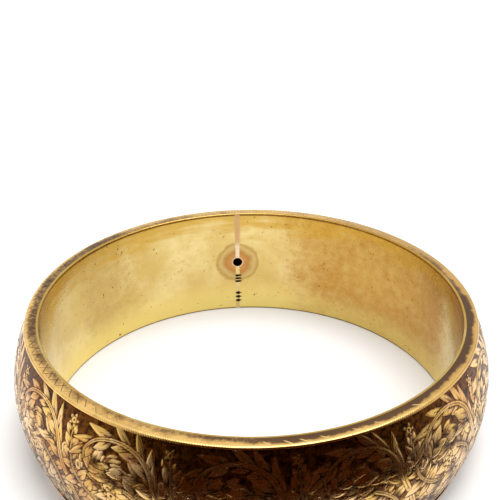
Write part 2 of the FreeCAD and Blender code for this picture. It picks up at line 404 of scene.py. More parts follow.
@dataclass(frozen=True)
class LinerGold:
    """Satin straw-yellow inside sheet: brown tarnish, scratches, pits, painted shade at left, painted floor
    reflection below.
    """

    straw: Colour = (0.61, 0.435, 0.14)
    pale: Colour = (0.77, 0.62, 0.28)
    amber: Colour = (0.56, 0.33, 0.045)
    # Painted reflection of the bright floor, laid over the lower part of the sheet.
    low_painted_reflection: Colour = (0.92, 0.74, 0.24)
    shade: Colour = (0.50, 0.345, 0.115)
    flux: Colour = (0.62, 0.44, 0.17)
    burnt: Colour = (0.45, 0.20, 0.05)
    rust: Colour = (0.48, 0.25, 0.05)
    ring: Colour = (0.36, 0.21, 0.055)
    # Dark brown for the real dirt in the pits and for the painted shade lines along the edges.
    dirt_and_shade: Colour = (0.13, 0.055, 0.018)
    bronze: Colour = (0.52, 0.27, 0.09)
    lip: Colour = (0.76, 0.54, 0.33)
    stain: Colour = (0.76, 0.63, 0.46)
    scraped: Colour = (0.54, 0.34, 0.15)
    punched: Colour = (0.03, 0.02, 0.015)

    def material(self, sizes: Sizes) -> bpy.types.Material:
        """The finish, with its marks round the vent placed from the bangle's sizes.

        Args:
            sizes: The bangle's sizes.

        Returns:
            The material.
        """
        nodes = Nodes("liner_gold")
        x, y, z = nodes.axes()
        cloud = nodes.noise(0.07, detail=6.0, rough=0.62)
        fleck = nodes.noise(0.6, detail=7.0, rough=0.78)
        streaks = nodes.noise(0.35, detail=5.0, rough=0.65, stretch=(0.35, 0.35, 2.2))
        colour = nodes.blend(nodes.ramp(cloud, 0.40, 0.66), self.straw, self.pale)
        left = nodes.plus(nodes.ramp(x, -14 * MM, -23 * MM, 0.0, 0.30), fleck)
        left = nodes.minus(left, nodes.ramp(x, -25 * MM, -28 * MM, 0.0, 0.30))
        colour = nodes.blend(nodes.ramp(left, 0.50, 0.95, 0.0, 0.9), colour, self.shade)
        # Painted reflection: the sheet turns lighter towards its bottom edge.
        colour = nodes.blend(nodes.ramp(z, 7.0 * MM, 0.0, 0.0, 0.85), colour, self.low_painted_reflection)
        right = nodes.times(nodes.ramp(x, 2 * MM, 17 * MM, 0.0, 0.30), nodes.ramp(y, 0.0, 8 * MM))
        worn = nodes.plus(nodes.times(cloud, 0.55), nodes.times(fleck, 0.45))
        high = nodes.ramp(z, 1.0 * MM, 6.0 * MM, 0.45, 1.0)
        rusty = nodes.times(nodes.ramp(nodes.plus(worn, right), 0.54, 0.88, 0.0, 0.95), high)
        colour = nodes.blend(rusty, colour, self.rust)
        near_top = nodes.plus(nodes.ramp(z, 12.5 * MM, 19.0 * MM, 0.0, 0.36), streaks)
        colour = nodes.blend(nodes.ramp(near_top, 0.60, 0.90, 0.0, 0.75), colour, self.amber)
        # Painted shade: dark lines along the top and bottom edges.
        colour = self.edge_shade_lines(nodes, colour, z, fleck, sizes)
        colour = self.vent_marks(nodes, colour, (x, y, z), sizes)
        pits = nodes.ramp(nodes.noise(1.9, detail=1.0), 0.28, 0.21)
        colour = nodes.blend(nodes.times(pits, 0.8), colour, self.dirt_and_shade)
        scratch = nodes.noise(2.4, detail=2.0, stretch=(0.3, 0.3, 6.0))
        dull = nodes.plus(nodes.ramp(fleck, 0.3, 0.7, 0.08, 0.17), nodes.times(rusty, 0.14))
        nodes.bump((streaks, 0.014 * MM), (scratch, 0.005 * MM), (pits, -0.020 * MM), (cloud, 0.05 * MM),
                   (nodes.times(fleck, rusty), 0.03 * MM))
        return nodes.metal(colour, dull)

    def edge_shade_lines(self, nodes: Nodes, colour: object, z: object, fleck: object,
                  sizes: Sizes) -> bpy.types.NodeSocket:
        """The painted shade lines that run along the two edges, just under the top edge and at the foot.

        Args:
            nodes: The material being made.
            colour: The colour under the lines.
            z: The piece's z.
            fleck: The noise that breaks the lines up.
            sizes: Where the edges are.

        Returns:
            The colour with the lines on it.
        """
        low = nodes.ramp(z, sizes.height - 0.48 * MM, sizes.height - 0.30 * MM)
        high = nodes.ramp(z, sizes.height - 0.14 * MM, sizes.height - 0.20 * MM)
        line = nodes.plus(nodes.times(low, high), nodes.ramp(z, 0.34 * MM, 0.10 * MM))
        line = nodes.times(line, nodes.ramp(fleck, 0.2, 0.5, 0.4, 0.9))
        return nodes.blend(line, colour, self.dirt_and_shade)

    def vent_marks(self, nodes: Nodes, colour: object, axes: Sequence[object],
                   sizes: Sizes) -> bpy.types.NodeSocket:
        """Heat rings round the vent and the flux stain down the seam.

        Args:
            nodes: The material being made.
            colour: The colour under the marks.
            axes: The piece's x, y and z.
            sizes: Where the vent is.

        Returns:
            The colour with the marks on it.
        """
        x, y, z = axes
        back = nodes.ramp(y, 0.0, 1.0 * MM)
        rise = nodes.minus(z, sizes.middle)
        reach = nodes.math("SQRT", nodes.plus(nodes.times(x, x), nodes.times(rise, rise)))
        lip = nodes.ramp(reach, 1.14 * MM, 0.98 * MM, 0.0, 0.6)
        wobble = nodes.times(nodes.noise(0.45, detail=4.0), 1.6 * MM)
        reach = nodes.plus(nodes.minus(reach, 0.8 * MM), wobble)
        rings = (
            (self.ring, 4.10 * MM, 3.6 * MM, 0.70),
            (self.flux, 3.65 * MM, 3.2 * MM, 0.60),
            (self.ring, 2.9 * MM, 2.5 * MM, 0.50),
            (self.burnt, 2.5 * MM, 2.1 * MM, 0.85),
            (self.bronze, 1.9 * MM, 1.4 * MM, 0.6),
        )
        for tint, outside, inside, share in rings:
            spot = nodes.times(nodes.ramp(reach, outside, inside, 0.0, share), back)
            colour = nodes.blend(spot, colour, tint)
        colour = nodes.blend(nodes.times(lip, back), colour, self.lip)
        across = nodes.plus(nodes.math("ABSOLUTE", x), nodes.times(wobble, 0.3))
        narrow = nodes.ramp(z, 10.8 * MM, 15.0 * MM, 0.15 * MM, 0.55 * MM)
        streak = nodes.ramp(nodes.minus(across, narrow), 0.45 * MM, 0.0)
        above = nodes.ramp(z, 9.0 * MM, 11.0 * MM, 0.0, 0.8)
        tint = nodes.blend(nodes.ramp(z, 12.4 * MM, 14.2 * MM), self.stain, self.scraped)
        colour = nodes.blend(nodes.times(nodes.times(streak, above), back), colour, tint)
        return nodes.blend(nodes.times(self.punches(nodes, x, z), back), colour, self.punched)

    def punches(self, nodes: Nodes, x: object, z: object) -> bpy.types.NodeSocket:
        """Plain bars and lozenges below the vent, in place of any stamp.

        Args:
            nodes: The material being made.
            x: The piece's x.
            z: The piece's z.

        Returns:
            How strongly each point is marked.
        """
        aside = nodes.math("ABSOLUTE", nodes.minus(x, 0.12 * MM))
        row = nodes.math("PINGPONG", nodes.minus(z, 5.45 * MM), 0.30 * MM)
        bars = nodes.times(nodes.ramp(row, 0.08 * MM, 0.15 * MM), nodes.ramp(aside, 0.62 * MM, 0.50 * MM))
        bars = nodes.times(bars, nodes.between(z, 5.50 * MM, 7.20 * MM, 0.10 * MM))
        row = nodes.math("PINGPONG", nodes.minus(z, 1.30 * MM), 0.40 * MM)
        lozenges = nodes.ramp(nodes.minus(row, nodes.times(aside, 0.45)), 0.06 * MM, 0.14 * MM)
        lozenges = nodes.times(lozenges, nodes.between(z, 1.35 * MM, 3.65 * MM, 0.10 * MM))
        return nodes.times(nodes.math("ADD", bars, lozenges, clamp=True), 0.9)


@dataclass(frozen=True)
class RimGold:
    """Polished edge ring, darkened to purple-grey towards the liner, with dark cut strokes."""

    gold: Colour = (0.92, 0.58, 0.19)
    worn: Colour = (0.60, 0.35, 0.10)
    tarnish: Colour = (0.060, 0.026, 0.019)
    stroke: Colour = (0.09, 0.04, 0.028)
    # Tint of the bright scrapes and of the painted highlight along the lip.
    scrape_and_highlight_tint: Colour = (0.96, 0.68, 0.27)
    file_lines: float = 620.0

    def material(self) -> bpy.types.Material:
        """The finish, which reads the ring's tarnish, cut and glint layers.

        Returns:
            The material.
        """
        nodes = Nodes("rim_gold")
        x, y, _ = nodes.axes()
        patch = nodes.noise(0.30, detail=5.0, rough=0.65)
        grit = nodes.noise(2.6, detail=5.0, rough=0.75)
        colour = nodes.blend(nodes.ramp(patch, 0.46, 0.66, 0.0, 0.65), self.gold, self.worn)
        colour = nodes.blend(nodes.ramp(x, 6 * MM, 28 * MM, 0.0, 0.70), colour, self.worn)
        mottle = nodes.plus(nodes.times(patch, 0.8), nodes.times(grit, 1.3))
        dirty = nodes.ramp(nodes.plus(nodes.layer("tarnish"), nodes.minus(mottle, 1.05)), 0.12, 0.88)
        colour = nodes.blend(nodes.times(dirty, 0.92), colour, self.tarnish)
        colour = nodes.blend(nodes.ramp(nodes.layer("cut"), 0.15, 0.8, 0.0, 0.92), colour, self.stroke)
        # Bright scrapes, and a painted highlight along the lip.
        colour = nodes.blend(nodes.layer("scrape_and_lip_highlight"), colour, self.scrape_and_highlight_tint)
        file_marks = nodes.math("SINE", nodes.times(nodes.math("ARCTAN2", y, x), self.file_lines))
        dull = nodes.plus(nodes.ramp(dirty, 0.0, 1.0, 0.16, 0.34), nodes.times(grit, 0.08))
        nodes.bump((file_marks, 0.004 * MM), (grit, 0.014 * MM))
        return nodes.metal(colour, dull)


@dataclass(frozen=True)
class SolderGold:
    """Pale gold solder, tan where it was scraped near the top."""

    pale: Colour = (0.76, 0.63, 0.43)
    tan: Colour = (0.54, 0.34, 0.15)
    straw: Colour = (0.70, 0.53, 0.22)
    mark: Colour = (0.03, 0.02, 0.015)

    def material(self, name: str) -> bpy.types.Material:
        """The finish, which darkens where the sheet's cut layer says so.

        Args:
            name: The material's name.

        Returns:
            The material.
        """
        nodes = Nodes(name)
        _, _, z = nodes.axes()
        grain = nodes.noise(1.1, detail=5.0, rough=0.7)
        height = nodes.plus(z, nodes.times(nodes.minus(grain, 0.5), 2.0 * MM))
        colour = nodes.blend(nodes.ramp(height, 12.4 * MM, 14.2 * MM), self.pale, self.tan)
        colour = nodes.blend(nodes.ramp(height, 9.4 * MM, 8.2 * MM), colour, self.straw)
        colour = nodes.blend(nodes.ramp(grain, 0.4, 0.7, 0.0, 0.3), colour, self.tan)
        colour = nodes.blend(nodes.ramp(nodes.layer("cut"), 0.2, 0.8), colour, self.mark)
        nodes.bump((grain, 0.012 * MM))
        return nodes.metal(colour, nodes.ramp(grain, 0.3, 0.7, 0.12, 0.24))


@dataclass(frozen=True)
class Lobe:
    """One raised stroke of the engraving: a spine with half widths, and how its top lies.

    Level, rise along it, crown across it and roll to one side are heights in millimetres. Root is how
    bright its foot stays under the painted shade that darkens the lobe towards its foot.
    """

    spine: np.ndarray
    half: np.ndarray
    level: float = 0.0
    rise: float = 0.0
    crown: float = 0.02
    roll: float = 0.0
    # Painted shade: below 1, the lobe's colour darkens towards its foot.
    root: float = 1.0


@dataclass
class ReliefField:
    """The unrolled band as a grid of heights in millimetres, that leaves and stems are cut into."""

    length: float
    width: float
    columns: int
    rows: int
    ground: float = -0.08
    gap: float = 0.07
    height: np.ndarray = field(init=False)
    # 0 on the dark cut ground; on the lobes it also carries a painted shade at their feet.
    polish_and_shade: np.ndarray = field(init=False)

    def __post_init__(self) -> None:
        """Starts with the plain cut ground."""
        self.height = np.full((self.columns, self.rows), self.ground)
        self.polish_and_shade = np.zeros((self.columns, self.rows))

    def across(self) -> np.ndarray:
        """Each row's place across the band, from its middle."""
        return np.linspace(-self.width / 2, self.width / 2, self.rows)

    def window(self, spine: np.ndarray,
               margin: float) -> tuple[tuple[np.ndarray, ...], np.ndarray, np.ndarray]:
        """The part of the grid near a spine.

        Args:
            spine: Points in millimetres on the unrolled band.
            margin: How far round them to reach.

        Returns:
            The grid's indices, and the points' places along and across the band.
        """
        step = self.length / self.columns
        first = int(math.floor((spine[:, 0].min() - margin) / step))
        last = int(math.ceil((spine[:, 0].max() + margin) / step))
        rows = self.across()
        near = np.flatnonzero((rows > spine[:, 1].min() - margin) & (rows < spine[:, 1].max() + margin))
        spots = np.arange(first, last + 1)
        x, y = np.meshgrid(spots * step, rows[near], indexing="ij")
        return np.ix_(spots % self.columns, near), x, y

    def carve(self, lobes: Sequence[Lobe]) -> None:
        """Raises a group of lobes: a wide cut round the group, fine cuts between its lobes.

        Args:
            lobes: The group's lobes, the first one lowest.
        """
        places = []
        for lobe in lobes:
            put, x, y = self.window(lobe.spine, lobe.half.max() + self.gap + 0.2)
            if x.size:
                places.append((lobe, put, *self.nearest(x, y, lobe.spine, lobe.half)))
        for _, put, off, wide, _, _ in places:
            cut = smooth_step(-self.gap - 0.07, -self.gap * 0.4, wide - off)
            self.height[put] += (self.ground - self.height[put]) * cut
            self.polish_and_shade[put] *= 1.0 - cut
        for lobe, put, off, wide, along, side in places:
            inside = wide - off
            groove = np.exp(-(((inside + 0.03) / 0.075) ** 2))
            over = smooth_step(-0.03, 0.06, inside)
            share = np.clip(off / np.maximum(wide, 1e-6), 0.0, 1.0)
            body = lobe.level + lobe.rise * (along - 0.5) - lobe.crown * share**3
            body += lobe.roll * np.clip(side / np.maximum(wide, 0.05), -1.0, 1.0)
            height = self.height[put] - 0.025 * groove * self.polish_and_shade[put]
            self.height[put] = height + (body - height) * over
            polish_and_shade = self.polish_and_shade[put] * (1.0 - 0.8 * groove)
            # Painted shade: the lobe's polish falls from full near its tip to its root level at its foot.
            foot_shaded_tone = lobe.root + (1.0 - lobe.root) * smooth_step(0.1, 0.7, along)
            self.polish_and_shade[put] = polish_and_shade + (foot_shaded_tone - polish_and_shade) * over

    def score(self, spine: np.ndarray, half: np.ndarray, deep: float) -> None:
        """Cuts a fine line.

        Args:
            spine: Its points.
            half: Half its width at each point.
            deep: Its depth.
        """
        put, x, y = self.window(spine, half.max() + 0.2)
        if x.size:
            off, wide, _, _ = self.nearest(x, y, spine, half)
            cut = smooth_step(wide + 0.07, wide - 0.03, off)
            self.height[put] -= deep * cut * self.polish_and_shade[put]
            self.polish_and_shade[put] *= 1.0 - 0.85 * cut

    @staticmethod
    def nearest(x: np.ndarray, y: np.ndarray, spine: np.ndarray,
                half: np.ndarray) -> tuple[np.ndarray, ...]:
        """How each grid point lies to a spine.

        Args:
            x: The points' places along the band.
            y: The points' places across the band.
            spine: The spine's points.
            half: Half the width at each spine point.

        Returns:
            The distance, the half width there, the share of the spine passed, and the signed distance.
        """
        best = np.full(x.shape, 1e9)
        wide, along, side = np.zeros(x.shape), np.zeros(x.shape), np.zeros(x.shape)
        count = len(spine) - 1
        for index in range(count):
            start, way = spine[index], spine[index + 1] - spine[index]
            size = max(float(way @ way), 1e-12)
            dx, dy = x - start[0], y - start[1]
            share = np.clip((dx * way[0] + dy * way[1]) / size, 0.0, 1.0)
            off = np.hypot(dx - share * way[0], dy - share * way[1])
            closer = off < best
            best = np.where(closer, off, best)
            wide = np.where(closer, half[index] + share * (half[index + 1] - half[index]), wide)
            along = np.where(closer, (index + share) / count, along)
            side = np.where(closer, (way[0] * dy - way[1] * dx) / math.sqrt(size), side)
        return best, wide, along, side


@dataclass
class ScrollBand:
    """Leafy scrolls that run round the shell, cut into a relief field."""

    relief: ReliefField
    repeats: int = 15
    start: float = 0.0
    seed: int = 41

    def carve(self) -> None:
        """Cuts every repeat, each once upright and once turned half round."""
        dice = np.random.default_rng(self.seed)
        unit = self.relief.length / self.repeats
        sprays = []
        for turned in (True, False):
            for index in range(self.repeats):
                wander = math.sin(2 * math.pi * 2 / self.repeats * (index - 2.9))
                centre = self.start + index * unit + 1.6 * wander - 0.5
                sprays.append(Spray(self.relief, dice, centre, turned))
        for spray in sprays:
            spray.leaves()
        for spray in sprays:
            spray.stems()
        self.edge_lines()

    def edge_lines(self) -> None:
        """Leaves a narrow plain step beside each edge of the band."""
        rows = np.abs(self.relief.across())
        fade = smooth_step(self.relief.width / 2 - 0.26, self.relief.width / 2 - 0.10, rows)
        self.relief.height += (self.relief.ground - self.relief.height) * fade
        self.relief.polish_and_shade *= 1.0 - fade


@dataclass
class Spray:
    """One repeat of the scroll: a curled frond, a flower stem beside it, leaves and berries."""

    relief: ReliefField
    dice: np.random.Generator
    centre: float
    turned: bool
    pivot: Point = (1.75, 0.0)
    frond: Sequence[Point] = (
        (1.75, 0.0), (0.7, 2.4), (0.1, 4.4), (-0.8, 6.0), (-2.5, 7.3), (-5.2, 7.85), (-8.1, 7.2),
        (-9.9, 5.6), (-10.2, 4.0),
    )
    flower_stem: Sequence[Point] = (
        (6.9, -1.6), (5.3, -0.7), (3.7, 0.9), (2.95, 2.9), (2.75, 5.1), (2.55, 7.2),
    )

    def place(self, points: np.ndarray) -> np.ndarray:
        """Moves points of the pattern to this repeat's place on the band.

        Args:
            points: Places on the pattern, in millimetres.

        Returns:
            Their places on the band.
        """
        points = np.asarray(points, float).reshape(-1, 2)
        if self.turned:
            points = 2 * np.asarray(self.pivot) - points
        return points + (self.centre, 0.0)

    def vary(self, spread: float) -> float:
        """A number near 1, different for each cut."""
        return 1.0 + spread * (2.0 * self.dice.random() - 1.0)

    def finger(self, root: Point, heading: float, reach: float, width: float, bend: float) -> Lobe:
        """One pointed lobe of a leaf.

        Args:
            root: Where it grows from.
            heading: The way it starts out, in degrees from the band's own direction.
            reach: Its length.
            width: Its greatest width.
            bend: How many degrees it turns by its tip.

        Returns:
            The lobe, placed on the band.
        """
        reach *= self.vary(0.15)
        width *= self.vary(0.15)
        heading += 7.0 * (self.vary(1.0) - 1.0)
        share = np.linspace(0.0, 1.0, 11)
        angle = np.radians(heading + bend * share)
        steps = np.c_[np.cos(angle), np.sin(angle)] * reach / 10
        spine = np.asarray(root) + np.vstack([[0.0, 0.0], np.cumsum(steps[:-1], axis=0)])
        half = width / 2 * (0.55 + 0.45 * np.sin(np.pi * share**0.8)) * (1.0 - share**3.5) ** 0.8
        # Each finger gets a painted shade that darkens its foot to about 0.42 of full polish.
        return Lobe(self.place(spine), half,
                    level=-0.015 + 0.015 * (self.vary(1.0) - 1.0),
                    rise=0.08 * (self.vary(1.0) - 1.0),
                    roll=0.03 * (self.vary(1.0) - 1.0),
                    root=0.42 * self.vary(0.35))

    def leaf(self, path: Sequence[Point], count: int, reach: float, width: float,
             spread: tuple[float, float], sides: Sequence[Side] = (Side.LEFT, Side.RIGHT),
             bend: float = 22.0, span: tuple[float, float] = (0.0, 0.85), tip: bool = True) -> None:
        """A broad leaf: fingers along its rib and one at its tip, parted by fine cuts.

        Args:
            path: The rib's points, from its foot to its tip.
            count: Fingers on each side.
            reach: The longest finger's length.
            width: The widest finger's width.
            spread: The fingers' angle from the rib at its foot and at its tip, in degrees.
            sides: The sides that have fingers.
            bend: How many degrees each finger curls back towards the rib.
            span: The part of the rib that has fingers.
            tip: Whether the rib ends in a finger of its own.
        """
        rib = smooth_path(path)
        ways = np.gradient(rib, axis=0)
        fingers, cuts = [], []
        for index in reversed(range(count)):
            along = index / max(count - 1, 1)
            share = span[0] + (span[1] - span[0]) * along
            spot = int(round(share * (len(rib) - 1)))
            heading = math.degrees(math.atan2(ways[spot][1], ways[spot][0]))
            size = 0.66 + 0.34 * math.sin(math.pi * (0.2 + 0.7 * along))
            lean = spread[0] + (spread[1] - spread[0]) * share
            for side in sides:
                finger = self.finger(tuple(rib[spot]), heading + side.value * lean, reach * size,
                                     width * (0.5 + 0.5 * size), -side.value * bend)
                fingers.append(finger)
                cuts.append(finger.spine[1:7])
        if tip:
            heading = math.degrees(math.atan2(ways[-1][1], ways[-1][0]))
            fingers.append(self.finger(tuple(rib[-4]), heading, reach * 0.8, width, 0.0))
        self.relief.carve(fingers)
        for line in cuts:
            self.relief.score(line, np.linspace(0.05, 0.01, len(line)), 0.025)
        if tip:
            self.relief.score(self.place(rib), np.linspace(0.09, 0.03, len(rib)), 0.04)

    def berry(self, centre: Point, wide: float, tall: float, petals: int) -> None:
        """A raised ring round a pit, with a collar of petals.

        Args:
            centre: Its middle.
            wide: The ring's outer radius along the band.
            tall: Its outer radius across the band.
            petals: How many petals stand round it.
        """
        centre = np.asarray(centre)
        collar = []
        for step in range(petals):
            angle = 2 * math.pi * step / petals
            root = centre + (0.5 * wide * math.cos(angle), 0.5 * tall * math.sin(angle))
            collar.append(self.finger(tuple(root), math.degrees(angle), wide * 1.5, wide * 1.1, 0.0))
        self.relief.carve(collar)
        turn = np.linspace(0.0, 2 * math.pi, 25)
        ring = centre + np.c_[wide * 0.66 * np.cos(turn), tall * 0.66 * np.sin(turn)]
        self.relief.carve([Lobe(self.place(ring), np.full(25, wide * 0.32), level=0.0, crown=0.05)])

    def stem(self, path: Sequence[Point], foot: float, tip: float) -> None:
        """A stem with a line cut down its middle.

        Args:
            path: Its points.
            foot: Half its width at its start.
            tip: Half its width at its end.
        """
        line = self.place(smooth_path(path))
        self.relief.carve([Lobe(line, np.linspace(foot, tip, len(line)), level=-0.005, crown=0.03)])
        self.relief.score(line, np.linspace(0.07, 0.03, len(line)), 0.04)

    def leaves(self) -> None:
        """Cuts the broad leaves that fill the band behind the stems."""
        self.leaf([(2.4, -1.2), (-0.6, -2.8), (-4.4, -3.2), (-8.2, -2.2)], 4, 4.3, 1.9, (56, 34))
        self.leaf([(5.2, -0.4), (6.6, 1.2), (7.4, 3.4)], 3, 3.8, 1.7, (52, 30))
        self.leaf([(1.4, -0.6), (-1.6, -1.5), (-5.0, -1.7), (-7.6, -0.8)], 4, 3.9, 1.6, (50, 30))
        self.leaf([(-5.4, 0.2), (-8.0, 1.2), (-10.6, 1.8)], 3, 3.6, 1.6, (48, 28))
        self.leaf([(1.0, 0.8), (-1.6, 1.4), (-4.2, 2.4), (-6.8, 2.9)], 3, 4.0, 1.7, (50, 30))
        self.leaf([(4.0, 0.8), (5.3, 2.4), (6.2, 4.4)], 3, 3.4, 1.5, (48, 28))
        self.leaf([(-9.6, 3.2), (-8.0, 4.2), (-5.8, 4.9)], 3, 2.8, 1.3, (44, 26))
        self.leaf([(0.2, 3.2), (-1.7, 4.0), (-4.2, 4.1)], 3, 3.5, 1.45, (46, 24))

    def stems(self) -> None:
        """Cuts the two stems with the leaves that grow from them, the flower and the berries."""
        self.leaf(self.flower_stem, 3, 3.1, 1.5, (100, 62), span=(0.18, 0.50), tip=False)
        self.leaf(self.flower_stem, 3, 2.3, 1.15, (50, 36), span=(0.60, 0.88), tip=False)
        self.stem(self.flower_stem, 0.26, 0.14)
        self.berry((2.5, 8.0), 0.46, 0.46, 5)
        self.leaf(self.frond, 7, 4.7, 1.2, (17, 12), (Side.RIGHT,), bend=-4.0, span=(0.14, 0.88), tip=False)
        self.leaf(self.frond, 4, 2.9, 1.2, (46, 32), (Side.LEFT,), bend=20.0, span=(0.54, 0.92), tip=False)
        self.leaf(self.frond, 3, 3.8, 1.5, (58, 42), (Side.LEFT,), bend=22.0, span=(0.10, 0.44), tip=False)
        self.stem(self.frond, 0.42, 0.16)
        if not self.turned:
            self.berry((-5.5, 0.15), 0.66, 0.66, 6)
            self.berry((-10.9, 2.6), 0.50, 0.85, 0)


@dataclass
class TurnedSheet:
    """A sheet turned about the wrist hole's axis: a closed section swept round, with end faces."""

    name: str
    angles: np.ndarray
    radii: np.ndarray
    heights: np.ndarray
    layers: dict[str, np.ndarray] = field(default_factory=dict)
    strips: int = 3
    paired: bool = False
    crease: float = math.radians(50.0)

    def build(self) -> bpy.types.Object:
        """Makes the mesh.

        Returns:
            The piece, with smooth faces, its layers and its map for baking.
        """
        turns, ring = self.radii.shape
        angle = np.broadcast_to(self.angles if self.angles.ndim == 2 else self.angles[:, None],
                                self.radii.shape)
        points = np.stack([self.radii * np.cos(angle), self.radii * np.sin(angle), self.heights], -1)
        index = np.arange(turns * ring).reshape(turns, ring)
        here, ahead = index[:-1], index[1:]
        quads = np.stack([here, ahead, np.roll(ahead, -1, 1), np.roll(here, -1, 1)], -1).reshape(-1, 4)
        mesh = bpy.data.meshes.new(self.name)
        faces = quads.tolist()
        for end, step in ((index[0], 1), (index[-1], -1)):
            faces += [face[::step] for face in self.cap(end.tolist())]
        mesh.from_pydata(points.reshape(-1, 3).tolist(), [], faces)
        mesh.polygons.foreach_set("use_smooth", [True] * len(quads) + [False] * (len(faces) - len(quads)))
        for name, values in self.layers.items():
            layer = mesh.attributes.new(name, "FLOAT", "POINT")
            layer.data.foreach_set("value", values.astype(np.float32).ravel())
        self.bake_map(mesh, len(quads), turns, ring)
        mesh.validate()
        mesh.set_sharp_from_angle(angle=self.crease)
        mesh.update()
        piece = bpy.data.objects.new(self.name, mesh)
        bpy.context.scene.collection.objects.link(piece)
        return piece

    def cap(self, ring: list[int]) -> list[list[int]]:
        """Faces that close an end: one, or a ladder where the section's two sides pair up.

        Args:
            ring: The numbers of the end's points, in order.

        Returns:
            The corners of each face.
        """
        if not self.paired:
            return [ring]
        last = len(ring) - 1
        return [[ring[i], ring[i + 1], ring[last - i - 1], ring[last - i]] for i in range(last // 2)]

    def bake_map(self, mesh: bpy.types.Mesh, quads: int, turns: int, ring: int) -> None:
        """Lays the sheet out in strips for baking, one above another.

        Args:
            mesh: The sheet's mesh.
            quads: How many of its faces are the swept ones.
            turns: Steps round the axis.
            ring: Points round the section.
        """
        face = np.arange(quads)
        turn, spot = face // ring, face % ring
        per_strip = math.ceil((turns - 1) / self.strips)
        strip, column = turn // per_strip, turn % per_strip
        left, right = column / per_strip, (column + 1) / per_strip
        low = (strip + 0.02 + 0.96 * spot / ring) / self.strips
        high = (strip + 0.02 + 0.96 * (spot + 1) / ring) / self.strips
        corners = np.stack([left, low, right, low, right, high, left, high], -1)
        spare = np.zeros((len(mesh.loops) - quads * 4) * 2)
        layer = mesh.uv_layers.new(name="OFBake")
        layer.data.foreach_set("uv", np.concatenate([corners.ravel(), spare]).astype(np.float32))


def arc_angles(gap: float, radius: float, turn: float, steps: int) -> np.ndarray:
    """Angles of a ring that stops short of a seam on both sides.

    Args:
        gap: The seam's width.
        radius: Where the width is measured.
        turn: The seam's angle.
        steps: How many angles.

    Returns:
        The angles, in radians.
    """
    half = gap / radius / 2
    return np.linspace(turn + half, turn + 2 * math.pi - half, steps)


@dataclass
class Shell:
    """The domed outer sheet with its scrolls, and the solder that closes it."""

    sizes: Sizes
    columns: int = 1800
    rows: int = 155
    inside_rows: int = 9
    first_scroll: float = math.radians(-70.6)

    def relief(self) -> ReliefField:
        """Cuts the scrolls on the unrolled band.

        Returns:
            The cut relief.
        """
        sizes = self.sizes
        girth = 2 * math.pi * (sizes.crown_radius - 0.25 * MM) / MM
        width = 2 * sizes.dome_arc * sizes.dome_reach / MM
        band = ReliefField(girth, width, self.columns, self.rows)
        # The band is unrolled from -Y round through +X.
        ScrollBand(band, start=self.first_scroll / (2 * math.pi) * girth).carve()
        return band

    def section(self, cut: np.ndarray) -> tuple[np.ndarray, np.ndarray]:
        """The closed section at each angle.

        Args:
            cut: How far the outside is moved out, at each angle and row, in metres.

        Returns:
            Radii and heights, one row for each angle.
        """
        sizes = self.sizes
        tilt = np.linspace(-sizes.dome_reach, sizes.dome_reach, self.rows)
        centre = sizes.crown_radius - sizes.dome_arc
        outside = sizes.dome_arc + cut
        heights = np.clip(sizes.middle + outside * np.sin(tilt), sizes.shell_low, sizes.shell_high)
        inside = sizes.dome_arc - sizes.shell_wall
        reach = math.asin(sizes.half_chord / inside)
        back = np.linspace(reach, -reach, self.inside_rows)
        shape = (len(cut), self.inside_rows)
        inner_radii = np.broadcast_to(centre + inside * np.cos(back), shape)
        inner_heights = np.broadcast_to(sizes.middle + inside * np.sin(back), shape)
        return np.hstack([centre + outside * np.cos(tilt), inner_radii]), np.hstack([heights, inner_heights])

    def sheet(self, name: str, angles: np.ndarray, band: ReliefField) -> TurnedSheet:
        """One stretch of the shell, with the relief that falls on it.

        Args:
            name: The piece's name.
            angles: The stretch's angles.
            band: The cut relief.

        Returns:
            The stretch, ready to build.
        """
        spot = ((angles + math.pi / 2) / (2 * math.pi) * self.columns) % self.columns
        low = np.floor(spot).astype(int) % self.columns
        share = (spot - np.floor(spot))[:, None]
        next_up = (low + 1) % self.columns
        height = band.height[low] * (1 - share) + band.height[next_up] * share
        polish_and_shade = band.polish_and_shade[low] * (1 - share) + band.polish_and_shade[next_up] * share
        radii, heights = self.section(height * MM)
        inside = np.zeros((len(angles), self.inside_rows))
        return TurnedSheet(name, angles, radii, heights, layers={"polish_and_shade": np.hstack([polish_and_shade, inside])})

    def build(self) -> list[bpy.types.Object]:
        """Makes the shell and its seam.

        Returns:
            The two pieces.
        """
        band = self.relief()
        sizes = self.sizes
        angles = arc_angles(sizes.shell_seam, sizes.shell_edge, SEAM_ANGLE, self.columns)
        shell = self.sheet("engraved_shell", angles, band).build()
        shell.data.materials.append(EngravedGold().material())
        half = sizes.shell_seam / sizes.shell_edge / 2
        across = np.linspace(SEAM_ANGLE - half, SEAM_ANGLE + half, SEAM_STEPS)
        strip = self.sheet("engraved_shell_seam", across, band).build()
        strip.data.materials.append(shell.data.materials[0])
        settle(shell, "outer_shell")
        settle(strip, "shell_seam_solder")
        return [shell, strip]


